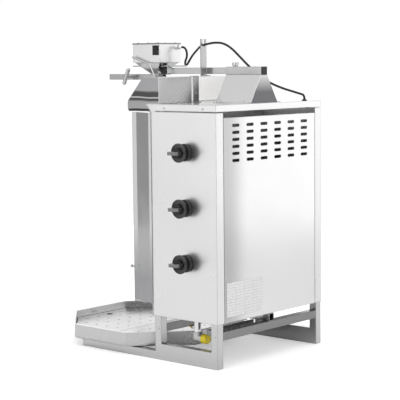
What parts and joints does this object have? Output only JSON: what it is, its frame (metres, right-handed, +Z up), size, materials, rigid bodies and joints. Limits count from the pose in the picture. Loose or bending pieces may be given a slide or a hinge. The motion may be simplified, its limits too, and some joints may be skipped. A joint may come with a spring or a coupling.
{
  "type": "gas vertical rotisserie broiler",
  "caption": "Gas vertical broiler: stainless housing with infrared burners, a hood and side shields, a motor-driven upright spit on a sliding carriage, and an octagonal drip tray.",
  "frame": {"origin": "bottom centre of the machine's box, on the floor it stands on", "axes": "+Z up, -Y towards the spit and drip tray, +Y out of the ventilated back, +X out of the knob panel"},
  "size_m": [0.606, 0.7556, 0.975],
  "materials": {
    "brushed_steel": "brushed stainless",
    "polished_steel": "bright annealed stainless",
    "chrome": "polished chrome",
    "cast_silver": "bead-blasted casting",
    "black_plastic": "glossy black",
    "black_rubber": "satin black",
    "yellow_plastic": "glossy yellow",
    "brass": "satin",
    "copper": "satin copper",
    "ceramic": "porous ceramic",
    "cast_iron": "grey paint",
    "label": "printed foil",
    "plated_steel": "zinc plated"
  },
  "bodies": {
    "base": {"side_frame_right": "brushed_steel", "side_frame_left": "brushed_steel", "cross_tubes": "brushed_steel", "fasteners": "polished_steel", "floor_panel": "brushed_steel", "side_panel_right": "brushed_steel", "side_panel_left": "brushed_steel", "back_panel": "brushed_steel", "rating_plate": "label", "top_cap": "brushed_steel", "front_surround": "brushed_steel", "burner_bodies": "plated_steel", "burner_ceramics": "ceramic", "burner_guards": "polished_steel", "gas_manifold": "chrome", "test_nipple": "brass", "inlet_elbow": "cast_silver", "gas_valves": "brass", "supply_pipes": "copper", "hood": "polished_steel", "hood_back": "brushed_steel", "arm_stand": "brushed_steel", "sleeve_tube": "brushed_steel", "sleeve_cap": "black_plastic", "cable_fork": "brushed_steel", "cable_grommet": "black_rubber", "motor_cable": "black_rubber", "wing_hinges": "plated_steel", "mains_gland": "black_plastic"},
    "carriage": {"arm_tube": "brushed_steel", "arm_ferrule": "black_plastic", "motor_bracket": "brushed_steel", "motor_box": "brushed_steel", "motor_lid": "brushed_steel", "gear_motor": "cast_iron", "switch_body": "black_plastic", "cable_gland": "chrome", "handle_bar": "brushed_steel"},
    "drive": {"drive_socket": "plated_steel"},
    "foot_slide": {"lower_arm": "brushed_steel", "bottom_bearing": "brass"},
    "spit_turn": {"spit": "polished_steel", "spit_disc": "polished_steel"},
    "rocker": {"switch_rocker": "black_plastic"},
    "sleeve_clamp": {"clamp_screw": "polished_steel"},
    "bar_clamp": {"t_handle": "cast_silver"},
    "lock_lever": {"cam_lever": "polished_steel"},
    "stop_screw": {"adjusting_screw": "plated_steel"},
    "tray": {"drip_tray": "brushed_steel"},
    "plate_front": {"tray_plate_front": "brushed_steel"},
    "plate_back": {"tray_plate_back": "brushed_steel"},
    "shield_right": {"wing_right": "brushed_steel"},
    "shield_left": {"wing_left": "brushed_steel"},
    "gas_cap": {"inlet_cap": "yellow_plastic"},
    "plunger_1": {"valve_plunger_1": "brass"},
    "dial_1": {"knob_1": "black_plastic"},
    "plunger_2": {"valve_plunger_2": "brass"},
    "dial_2": {"knob_2": "black_plastic"},
    "plunger_3": {"valve_plunger_3": "brass"},
    "dial_3": {"knob_3": "black_plastic"}
  },
  "joints": [
    {"name": "carriage_slide", "type": "slide", "parent": "base", "child": "carriage", "axis": [0, 1, 0], "range_m": [-0.012, 0.055], "deforming": ["motor_cable"]},
    {"name": "foot_slide", "type": "slide", "parent": "base", "child": "foot_slide", "axis": [0, 1, 0], "range_m": [-0.012, 0.055]},
    {"name": "spit_spin", "type": "hinge", "parent": "foot_slide", "child": "spit_turn", "pos_m": [-0.018, -0.09275, 0.15], "axis": [0, 0, 1], "continuous": true},
    {"name": "drive_spin", "type": "hinge", "parent": "carriage", "child": "drive", "pos_m": [-0.018, -0.09275, 0.88], "axis": [0, 0, 1], "continuous": true},
    {"name": "switch_rock", "type": "hinge", "parent": "carriage", "child": "rocker", "pos_m": [0.0325, -0.05075, 0.9425], "axis": [0, -1, 0], "range_deg": [0, 18]},
    {"name": "clamp_turn", "type": "hinge", "parent": "base", "child": "sleeve_clamp", "pos_m": [-0.018, 0.23925, 0.895], "axis": [0, 0, 1], "continuous": true},
    {"name": "t_handle_turn", "type": "hinge", "parent": "carriage", "child": "bar_clamp", "pos_m": [0.022, -0.17375, 0.85725], "axis": [1, 0, 0], "continuous": true},
    {"name": "lock_lever_turn", "type": "hinge", "parent": "carriage", "child": "lock_lever", "pos_m": [0.022, -0.04675, 0.85725], "axis": [-1, 0, 0], "range_deg": [0, 60]},
    {"name": "stop_screw_turn", "type": "hinge", "parent": "carriage", "child": "stop_screw", "pos_m": [0.004, -0.02275, 0.892], "axis": [0, 1, 0], "continuous": true},
    {"name": "tray_slide", "type": "slide", "parent": "base", "child": "tray", "axis": [0, -1, 0], "range_m": [0, 0.3]},
    {"name": "plate_front_lift", "type": "slide", "parent": "tray", "child": "plate_front", "axis": [0, 0, 1], "range_m": [0, 0.045]},
    {"name": "plate_back_lift", "type": "slide", "parent": "tray", "child": "plate_back", "axis": [0, 0, 1], "range_m": [0, 0.03]},
    {"name": "shield_right_swing", "type": "hinge", "parent": "base", "child": "shield_right", "pos_m": [0.2325, 0.11475, 0.462], "axis": [0, 0, 1], "range_deg": [-8, 90]},
    {"name": "shield_left_swing", "type": "hinge", "parent": "base", "child": "shield_left", "pos_m": [-0.2685, 0.11475, 0.462], "axis": [0, 0, -1], "range_deg": [-8, 90]},
    {"name": "gas_cap_pull", "type": "slide", "parent": "base", "child": "gas_cap", "axis": [0, 1, 0], "range_m": [0, 0.03]},
    {"name": "knob_1_push", "type": "slide", "parent": "base", "child": "plunger_1", "axis": [-1, 0, 0], "range_m": [0, 0.004], "stiffness_N_per_m": 900},
    {"name": "knob_1_turn", "type": "hinge", "parent": "plunger_1", "child": "dial_1", "pos_m": [0.262, 0.25825, 0.639], "axis": [1, 0, 0], "range_deg": [0, 180]},
    {"name": "knob_2_push", "type": "slide", "parent": "base", "child": "plunger_2", "axis": [-1, 0, 0], "range_m": [0, 0.004], "stiffness_N_per_m": 900},
    {"name": "knob_2_turn", "type": "hinge", "parent": "plunger_2", "child": "dial_2", "pos_m": [0.262, 0.25825, 0.4735], "axis": [1, 0, 0], "range_deg": [0, 180]},
    {"name": "knob_3_push", "type": "slide", "parent": "base", "child": "plunger_3", "axis": [-1, 0, 0], "range_m": [0, 0.004], "stiffness_N_per_m": 900},
    {"name": "knob_3_turn", "type": "hinge", "parent": "plunger_3", "child": "dial_3", "pos_m": [0.262, 0.25825, 0.308], "axis": [1, 0, 0], "range_deg": [0, 180]}
  ],
  "couplings": [
    {"joint": "foot_slide", "follows": "carriage_slide", "ratio": 1},
    {"joint": "drive_spin", "follows": "spit_spin", "ratio": 1}
  ]
}
